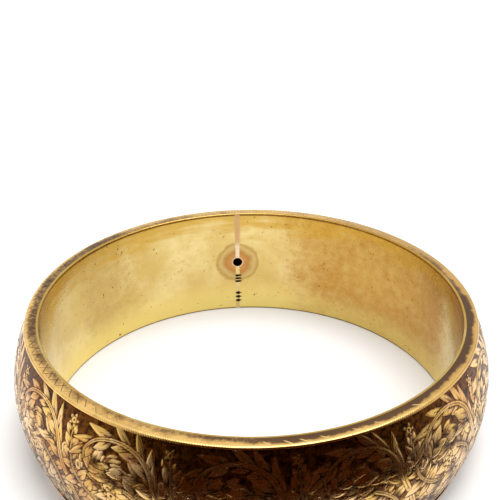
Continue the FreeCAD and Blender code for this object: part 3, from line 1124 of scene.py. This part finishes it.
@dataclass
class Liner:
    """The plain inner sheet with the vent through its butt seam, and the seam's solder."""

    sizes: Sizes
    columns: int = 720
    face_rows: int = 53
    edge_steps: int = 5
    edge_round: float = 0.12 * MM
    seam_columns: int = 17
    seam_rows: int = 150
    seam_pull: float = 0.12
    wave: float = 0.012 * MM
    punch_depth: float = 0.08 * MM

    def rows(self) -> np.ndarray:
        """Heights of the inner face, closer together beside the vent.

        Returns:
            The heights, from the lowest.
        """
        half = self.sizes.middle
        share = np.linspace(-1.0, 1.0, self.face_rows)
        spread = np.sign(share) * (0.45 * np.abs(share) + 0.55 * np.abs(share) ** 2.2)
        return half + spread * (half - self.edge_round)

    def section(self) -> tuple[np.ndarray, np.ndarray]:
        """The sheet's closed section, with its two inner edges rounded.

        Returns:
            Radii and heights round the section.
        """
        sizes = self.sizes
        turn = np.linspace(0.0, math.pi / 2, self.edge_steps)
        rows = self.rows()
        low_r = sizes.inner_radius + self.edge_round * (1 - np.sin(turn))
        low_z = self.edge_round * (1 - np.cos(turn))
        radii = np.concatenate([low_r[:-1], np.full(len(rows), sizes.inner_radius), low_r[::-1][1:]])
        heights = np.concatenate([low_z[:-1], rows, sizes.height - low_z[::-1][1:]])
        radii = np.concatenate([radii, np.full(len(radii), sizes.liner_outside)])
        return radii, np.concatenate([heights, heights[::-1]])

    def wall_wave(self, angles: np.ndarray, heights: np.ndarray) -> np.ndarray:
        """How far the worn inner face wavers, in metres.

        Args:
            angles: The sheet's angles.
            heights: The heights round its section.

        Returns:
            The shift outwards for each angle and height.
        """
        round_it = np.sin(5 * angles + 0.7) + 0.6 * np.sin(11 * angles + 2.1) + 0.4 * np.sin(23 * angles)
        up = np.sin(math.pi * heights / self.sizes.height)
        return self.wave * round_it[:, None] * up[None, :]

    def vent_edge(self, heights: np.ndarray) -> np.ndarray:
        """Half the gap at the seam at each height, which widens round the vent.

        Args:
            heights: The heights round the section.

        Returns:
            Half the gap at each of them.
        """
        sizes = self.sizes
        off = np.abs(heights - sizes.middle)
        hole = np.sqrt(np.maximum(sizes.vent_radius**2 - off**2, 0.0))
        return np.maximum(sizes.liner_seam / 2, hole)

    def build(self) -> list[bpy.types.Object]:
        """Makes the liner and its seam.

        Returns:
            The two pieces.
        """
        sizes = self.sizes
        radii, heights = self.section()
        base = arc_angles(sizes.liner_seam, sizes.inner_radius, SEAM_ANGLE, self.columns)
        widen = (self.vent_edge(heights) - sizes.liner_seam / 2) / sizes.inner_radius
        from_seam = np.minimum(base - base[0], base[-1] - base)
        side = np.where(base < base.mean(), 1.0, -1.0)
        pull = side * np.clip(1 - from_seam / self.seam_pull, 0.0, 1.0) ** 2
        angles = base[:, None] + pull[:, None] * widen[None, :]
        wave = self.wall_wave(base, heights) * (radii < sizes.liner_outside)
        sheet = TurnedSheet("worn_liner", angles, radii[None, :] + wave,
                            np.broadcast_to(heights, angles.shape), paired=True)
        liner = sheet.build()
        liner.data.materials.append(LinerGold().material(sizes))
        settle(liner, "inner_liner")
        return [liner, self.seam()]

    def seam(self) -> bpy.types.Object:
        """The solder strip above and below the vent, with plain punched marks in the lower part.

        Returns:
            The piece.
        """
        parts = [self.strip("liner_seam_upper", True), self.strip("liner_seam_lower", False)]
        bpy.ops.object.select_all(action="DESELECT")
        for part in parts:
            part.select_set(True)
        bpy.context.view_layer.objects.active = parts[0]
        bpy.ops.object.join()
        seam = parts[0]
        seam.name = "liner_seam_strip"
        seam.data.materials.append(SolderGold().material("seam_solder"))
        settle(seam, "liner_seam_solder")
        return seam

    def strip(self, name: str, upper: bool) -> bpy.types.Object:
        """One length of the seam's solder.

        Args:
            name: The piece's name.
            upper: Whether it is above the vent.

        Returns:
            The piece.
        """
        sizes = self.sizes
        offsets = np.linspace(-sizes.liner_seam / 2, sizes.liner_seam / 2, self.seam_columns)
        reach = np.sqrt(sizes.vent_radius**2 - offsets**2)
        share = np.linspace(0.0, 1.0, self.seam_rows)
        if upper:
            start, end = sizes.middle + reach, np.full(self.seam_columns, sizes.height)
        else:
            start, end = np.zeros(self.seam_columns), sizes.middle - reach
        heights = start[:, None] + (end - start)[:, None] * share[None, :]
        cut = np.zeros_like(heights) if upper else self.marks(offsets, heights)
        rough = self.wave * (np.sin(heights / MM * 2.3) - 0.5)
        radii = sizes.inner_radius + rough + cut * self.punch_depth
        edge = np.minimum(heights, sizes.height - heights)
        bow = np.clip(1 - edge / self.edge_round, 0.0, 1.0)
        radii = radii + self.edge_round * (1 - np.sqrt(1 - bow**2 * 0.99))
        outer = np.full_like(radii, sizes.liner_outside)
        ring_radii = np.hstack([radii, outer[:, ::-1]])
        ring_heights = np.hstack([heights, heights[:, ::-1]])
        angles = SEAM_ANGLE + offsets / sizes.inner_radius
        layers = {"cut": np.hstack([cut, np.zeros_like(cut)])}
        return TurnedSheet(name, angles, ring_radii, ring_heights, layers=layers, strips=1,
                           paired=True).build()

    def marks(self, offsets: np.ndarray, heights: np.ndarray) -> np.ndarray:
        """Plain punched bars and lozenges, in place of any stamp.

        Args:
            offsets: Places across the strip.
            heights: Heights on the strip.

        Returns:
            How deeply each point is punched, from 0 to 1.
        """
        x = offsets[:, None] / MM
        z = heights / MM
        cut = np.zeros_like(z)
        for bar in (6.95, 6.35, 5.75):
            cut = np.maximum(cut, smooth_step(0.22, 0.15, np.abs(z - bar)))
        for lozenge in (3.3, 2.5, 1.7):
            off = np.abs(z - lozenge) + 0.45 * np.abs(x + 0.12)
            cut = np.maximum(cut, smooth_step(0.34, 0.26, off))
        return cut


@dataclass
class Rim:
    """One flat edge ring: hatched face, rounded lip, and the solder that closes it."""

    sizes: Sizes
    upper: bool
    columns: int = 2200
    face_rows: int = 18
    lip_rows: int = 9
    lip_round: float = 0.25 * MM
    dip: float = 0.11 * MM
    cut_depth: float = 0.05 * MM
    nick_depth: float = 0.010 * MM
    near_side: float = -94.5
    zigzags: int = 116
    tick_pitch: float = 0.55
    seed: int = 7
    # Degrees from the near side, the share of the face that is tarnished, and how dark it is.
    tarnish_keys: Sequence[tuple[float, float, float]] = (
        (-185, 0.25, 0.25), (-150, 0.50, 0.55), (-125, 0.75, 0.74), (-100, 0.68, 0.70), (-75, 0.60, 0.64),
        (-58, 0.48, 0.56), (-42, 0.30, 0.48), (-20, 0.36, 0.56), (-8, 0.46, 0.78), (2, 0.56, 0.98),
        (22, 0.56, 1.06), (45, 0.52, 1.06), (58, 0.44, 0.94), (66, 0.54, 1.06), (86, 0.58, 1.08),
        (96, 0.40, 0.70), (130, 0.22, 0.42), (175, 0.25, 0.30),
    )

    def section(self) -> tuple[np.ndarray, np.ndarray, np.ndarray]:
        """The ring's closed section, with its depths measured from the face.

        Returns:
            Radii, depths below the face, and 1 where the point is on the face.
        """
        sizes = self.sizes
        inner, outer = sizes.liner_outside, sizes.rim_outside
        face = np.linspace(inner, outer - self.lip_round, self.face_rows)
        turn = np.linspace(0.0, math.pi / 2, self.lip_rows)[1:]
        lip = outer - self.lip_round * (1 - np.sin(turn))
        fall = self.lip_round * (1 - np.cos(turn))
        radii = np.concatenate([face, lip, [outer, (inner + outer) / 2, inner]])
        depth = np.concatenate([np.zeros(len(face)), fall, np.full(3, sizes.rim_thickness)])
        shaped = np.arange(len(radii)) < len(face) + len(lip)
        depth += self.dip * ((radii - inner) / (outer - inner)) ** 2 * shaped
        on_face = np.zeros(len(radii))
        on_face[1 : len(face)] = 1.0
        return radii, np.minimum(depth, sizes.rim_thickness), on_face

    def view_angle(self, angles: np.ndarray) -> np.ndarray:
        """Degrees round the ring from its near side, from -180 to 180."""
        return (np.degrees(angles) - self.near_side + 180.0) % 360.0 - 180.0

    def tarnish(self, angles: np.ndarray, out: np.ndarray) -> np.ndarray:
        """How darkened each point of the ring is.

        Args:
            angles: The ring's angles.
            out: Each row's share of the way from the liner to the lip.

        Returns:
            The darkness for each angle and row: 0 is clean and 1 or more is fully tarnished.
        """
        keys = np.asarray(self.tarnish_keys)
        around = self.view_angle(angles)
        reach = np.interp(around, keys[:, 0], keys[:, 1])
        strength = np.interp(around, keys[:, 0], keys[:, 2])
        soft = 0.07 * np.sin(around * 0.23) + 0.045 * np.sin(around * 0.61 + 2.0)
        soft += 0.03 * np.sin(around * 1.43 + 1.0) + 0.02 * np.sin(around * 2.9)
        edge = (reach + soft)[:, None]
        return strength[:, None] * smooth_step(edge + 0.34, edge - 0.24, out[None, :])

    def strokes(self, angles: np.ndarray, out: np.ndarray) -> tuple[np.ndarray, np.ndarray]:
        """The crossing cuts, the bright scrapes across the front, and a painted highlight along the lip.

        Args:
            angles: The ring's angles.
            out: Each row's share of the way from the liner to the lip.

        Returns:
            How deeply each point is cut, and how bright its scrape or painted lip highlight is, from 0 to 1.
        """
        dice = np.random.default_rng(self.seed)
        radius = self.sizes.rim_outside / MM
        around = self.view_angle(angles)
        keep = np.interp(around, (-180, -125, -110, -55, -40, -15, 0, 100, 118, 180),
                         (0.4, 0.6, 1.0, 1.0, 0.7, 0.25, 0.06, 0.06, 0.4, 0.4))
        cut = np.zeros((len(angles), len(out)))
        scrape_and_lip_highlight = np.zeros_like(cut)

        def line(where: float, lean: float, start: float, end: float, wide: float) -> np.ndarray:
            """One straight stroke over the face, leaning, from its start to its end.

            Args:
                where: Its place round the ring, in degrees from the near side.
                lean: How far it slants from the liner to the lip, in millimetres.
                start: The share of the way out where it begins.
                end: The share of the way out where it ends.
                wide: Half its width in millimetres.

            Returns:
                How strongly each point is marked.
            """
            off = (around - where + 180.0) % 360.0 - 180.0
            off = np.radians(off)[:, None] * radius - lean * (out[None, :] - 0.3)
            ends = smooth_step(start - 0.08, start + 0.04, out) * smooth_step(end + 0.10, end - 0.04, out)
            return smooth_step(wide, wide * 0.35, np.abs(off)) * ends[None, :]

        order = np.argsort(around)
        for index in range(self.zigzags):
            where = -180.0 + 360.0 / self.zigzags * (index + 0.3 * (dice.random() - 0.5))
            deep = float(np.interp(where, around[order], keep[order]))
            for lean in (1.7, -1.5):
                depth = deep * (0.65 + 0.35 * dice.random()) * (dice.random() < 0.25 + 0.75 * deep)
                shift = 0.5 * (dice.random() - 0.5)
                end = 0.62 + 0.25 * dice.random()
                lean *= 0.8 + 0.4 * dice.random()
                cut = np.maximum(cut, depth * line(where + shift, lean, -0.2, end, 0.15))
        for where in (2.0, 6.5, 10.0, 14.5, 22.0, 27.5, 38.5):
            wide = 0.14 + 0.16 * dice.random()
            scrape_and_lip_highlight = np.maximum(scrape_and_lip_highlight, line(where, 2.6, 0.42, 1.2, wide))
        # Painted highlight along the lip: strongest across the front and front left, weaker to the right and
        # back.
        bright = np.interp(around, (-180, -100, -70, 25, 50, 85, 180), (0.3, 0.5, 1.0, 1.0, 0.45, 0.2, 0.3))
        scrape_and_lip_highlight = np.maximum(scrape_and_lip_highlight, bright[:, None] * smooth_step(0.66, 0.86, out)[None, :])
        ticks = 0.5 + 0.5 * np.sin(np.radians(around) * radius * 2 * math.pi / self.tick_pitch)
        back = smooth_step(95.0, 120.0, np.abs(around)) * 0.45
        cut = np.maximum(cut, (ticks * back)[:, None] * smooth_step(0.1, 0.3, out)[None, :])
        return cut, scrape_and_lip_highlight * 0.75

    def sheet(self, name: str, angles: np.ndarray) -> TurnedSheet:
        """One stretch of the ring.

        Args:
            name: The piece's name.
            angles: The stretch's angles.

        Returns:
            The stretch, ready to build.
        """
        sizes = self.sizes
        radii, depth, on_face = self.section()
        out = (radii - sizes.liner_outside) / (sizes.rim_outside - sizes.liner_outside)
        cut, scrape_and_lip_highlight = self.strokes(angles, out)
        cut, scrape_and_lip_highlight = cut * on_face[None, :], scrape_and_lip_highlight * on_face[None, :]
        tarnish = self.tarnish(angles, out)
        drop = depth[None, :] + cut * self.cut_depth
        nicks = self.nick_depth * np.sin(angles * 7 + 1.0) * np.sin(angles * 31)
        lip = (radii > sizes.rim_outside - self.lip_round) & (depth < sizes.rim_thickness)
        wide = radii[None, :] - np.abs(nicks)[:, None] * lip
        heights = sizes.height - drop if self.upper else drop
        layers = {"cut": cut, "scrape_and_lip_highlight": scrape_and_lip_highlight, "tarnish": tarnish}
        if not self.upper:
            wide, heights = wide[:, ::-1], heights[:, ::-1]
            layers = {key: values[:, ::-1] for key, values in layers.items()}
        return TurnedSheet(name, angles, wide, heights, layers=layers)

    def build(self) -> list[bpy.types.Object]:
        """Makes the ring and its seam.

        Returns:
            The two pieces.
        """
        sizes = self.sizes
        which = "upper" if self.upper else "lower"
        turn = SEAM_ANGLE + sizes.rim_seam_turn
        middle = (sizes.liner_outside + sizes.rim_outside) / 2
        half = sizes.rim_seam / middle / 2
        angles = arc_angles(sizes.rim_seam, middle, turn, self.columns)
        ring = self.sheet(f"hatched_{which}_rim", angles).build()
        across = np.linspace(turn - half, turn + half, SEAM_STEPS)
        strip = self.sheet(f"hatched_{which}_rim_seam", across).build()
        gold = RimGold().material()
        for piece, slot, node in ((ring, Slot.RIM, f"{which}_rim"),
                                  (strip, Slot.SOLDER, f"{which}_rim_seam_solder")):
            piece.data.materials.append(gold)
            settle(piece, node)
        return [ring, strip]


def settle(piece: bpy.types.Object, node: str) -> None:
    """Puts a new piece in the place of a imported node.

    Args:
        piece: The new piece.
        node: The node it stands for.
    """
    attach(piece, BODY)
    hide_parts(node)


@dataclass(frozen=True)
class HiddenSolder:
    """The fillets of solder inside the hollow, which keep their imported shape."""

    names: tuple[str, ...] = (
        "upper_liner_solder", "upper_shell_solder", "lower_liner_solder", "lower_shell_solder",
    )

    def dress(self) -> list[bpy.types.Object]:
        """Gives each fillet the solder's finish.

        Returns:
            The fillets.
        """
        finish = SolderGold().material("fillet_solder")
        fillets = [frame["nodes"][name] for name in self.names]
        for fillet in fillets:
            for slot in fillet.material_slots:
                slot.material = finish
        return fillets


@dataclass
class Studio:
    """The pale floor, the soft light, the dark cloth in front, and the camera."""

    sizes: Sizes
    lens: float = 68.14
    sensor: float = 36.0
    away: float = 145.8 * MM
    turn: float = math.radians(4.5)
    raised: float = math.radians(34.02)
    pitch: float = math.radians(27.53)
    roll: float = math.radians(-0.21)
    pan: float = math.radians(-0.06)
    dark_from: float = math.radians(-76.0)
    dark_to: float = math.radians(88.0)
    dark_fade: float = math.radians(42.0)
    dark: Colour = (0.035, 0.011, 0.004)
    seen_sky: float = 0.94
    fill_sky: float = 1.05
    key_watts: float = 7.0
    key_wide: float = 0.7
    key_place: tuple[float, float, float] = (0.15, 0.03, 0.97)
    floor_wide: float = 8.0
    floor_white: Colour = (0.86, 0.86, 0.86)
    bends: int = 32

    def matt(self, name: str, colour: Colour) -> Nodes:
        """A plain matt material for the floor or the cloth.

        Args:
            name: The material's name.
            colour: Its colour.

        Returns:
            The material's nodes, to finish or add to.
        """
        nodes = Nodes(name)
        nodes.shader.inputs["Base Color"].default_value = (*colour, 1.0)
        nodes.shader.inputs["Roughness"].default_value = 1.0
        nodes.shader.inputs["Specular IOR Level"].default_value = 0.0
        return nodes

    def scrim(self, name: str) -> bpy.types.Material:
        """Dark cloth that thins out to nothing towards its two ends.

        Args:
            name: The material's name.

        Returns:
            The material.
        """
        nodes = self.matt(name, self.dark)
        x, y, _ = nodes.axes()
        turn = nodes.math("ARCTAN2", x, nodes.times(y, -1.0))
        first = nodes.ramp(turn, self.dark_from, self.dark_from + self.dark_fade)
        last = nodes.ramp(turn, self.dark_to, self.dark_to - self.dark_fade)
        nodes.feed(nodes.shader.inputs["Alpha"], nodes.times(first, last))
        return nodes.material

    def prop(self, name: str, points: Sequence[Sequence[float]], faces: Sequence[tuple[int, ...]],
             material: bpy.types.Material) -> bpy.types.Object:
        """A sheet that belongs to the studio.

        Args:
            name: Its name.
            points: Its corners in metres.
            faces: The corners of each face.
            material: What covers it.

        Returns:
            The sheet.
        """
        mesh = bpy.data.meshes.new(name)
        mesh.from_pydata(points, [], faces)
        mesh.materials.append(material)
        sheet = bpy.data.objects.new(name, mesh)
        bpy.context.scene.collection.objects.link(sheet)
        return sheet

    def floor(self) -> None:
        """The pale floor that the bangle stands on."""
        half = self.floor_wide / 2
        corners = [(-half, -half, 0), (half, -half, 0), (half, half, 0), (-half, half, 0)]
        self.prop("pale_floor", corners, [(0, 1, 2, 3)], self.matt("floor_white", self.floor_white).material)

    def softbox(self) -> None:
        """The soft light, nearly overhead and aimed at the bangle."""
        lamp = bpy.data.lights.new("softbox", "AREA")
        lamp.shape = "RECTANGLE"
        lamp.size = lamp.size_y = self.key_wide
        lamp.energy = self.key_watts
        light = bpy.data.objects.new("softbox", lamp)
        place = Vector(self.key_place)
        aim = place - Vector((0, 0, self.sizes.middle))
        light.matrix_world = Matrix.Translation(place) @ aim.to_track_quat("Z", "Y").to_matrix().to_4x4()
        bpy.context.scene.collection.objects.link(light)

    def flag(self, name: str, inner: float, outer: float, foot: float, head: float) -> None:
        """A dark sheet bent round the front, seen only in the metal's reflections.

        Args:
            name: Its name.
            inner: Its near edge's distance from the wrist hole's axis.
            outer: Its far edge's distance.
            foot: Its near edge's height.
            head: Its far edge's height.
        """
        count = self.bends + 1
        turns = np.linspace(self.dark_from, self.dark_to, count) - math.pi / 2
        rows = [np.c_[reach * np.cos(turns), reach * np.sin(turns), np.full(count, height)]
                for reach, height in ((inner, foot), (outer, head))]
        faces = [(i, i + 1, count + i + 1, count + i) for i in range(self.bends)]
        sheet = self.prop(name, np.vstack(rows).tolist(), faces, self.scrim(name))
        for ray in ("camera", "diffuse", "shadow"):
            setattr(sheet, f"visible_{ray}", False)

    def light(self) -> None:
        """White surroundings, the soft light, the floor and the dark cloth in front."""
        world = bpy.data.worlds.new("white_room")
        world.use_nodes = True
        bpy.context.scene.world = world
        tree = world.node_tree
        sky = tree.nodes["Background"]
        sky.inputs["Color"].default_value = (1.0, 0.99, 0.98, 1.0)
        ray = tree.nodes.new("ShaderNodeLightPath")
        level = tree.nodes.new("ShaderNodeMapRange")
        tree.links.new(ray.outputs["Is Diffuse Ray"], level.inputs["Value"])
        level.inputs["To Min"].default_value = self.seen_sky
        level.inputs["To Max"].default_value = self.fill_sky
        tree.links.new(level.outputs["Result"], sky.inputs["Strength"])
        self.softbox()
        self.floor()
        self.flag("dark_table", 50 * MM, 360 * MM, 0.4 * MM, 1.0 * MM)
        self.flag("dark_wall", 360 * MM, 300 * MM, 1.0 * MM, 305 * MM)

    def camera(self) -> None:
        """The camera, in front and above."""
        level = Vector((-math.sin(self.turn), -math.cos(self.turn), 0.0))
        place = self.away * (math.cos(self.raised) * level + math.sin(self.raised) * UP)
        place += self.sizes.middle * UP
        swing = self.turn + self.pan
        look = Vector((math.sin(swing) * math.cos(self.pitch), math.cos(swing) * math.cos(self.pitch),
                       -math.sin(self.pitch)))
        right = look.cross(UP).normalized()
        top = right.cross(look)
        tilted = math.cos(self.roll) * right + math.sin(self.roll) * top
        top = math.cos(self.roll) * top - math.sin(self.roll) * right
        data = bpy.data.cameras.new("camera")
        data.lens, data.sensor_width = self.lens, self.sensor
        data.clip_start, data.clip_end = 5 * MM, 20.0
        lens = bpy.data.objects.new("camera", data)
        axes = Matrix((tilted, top, -look)).transposed().to_4x4()
        lens.matrix_world = Matrix.Translation(place) @ axes
        bpy.context.scene.collection.objects.link(lens)
        bpy.context.scene.camera = lens


def main() -> None:
    """Builds the bangle piece by piece, then the studio round it."""
    logging.basicConfig(level=logging.INFO, format="%(name)s: %(message)s")
    sizes = Sizes.from_frame()
    studio = Studio(sizes)
    studio.camera()
    makers: list[Callable[[], list[bpy.types.Object]]] = [
        Liner(sizes).build,
        Shell(sizes).build,
        Rim(sizes, upper=True).build,
        Rim(sizes, upper=False).build,
        HiddenSolder().dress,
    ]
    for make in makers:
        for piece in make():
            LOG.info("%s: %d faces", piece.name, len(piece.data.polygons))
    studio.light()
    bpy.context.scene.view_settings.view_transform = "Standard"


if __name__ == "__main__":
    main()
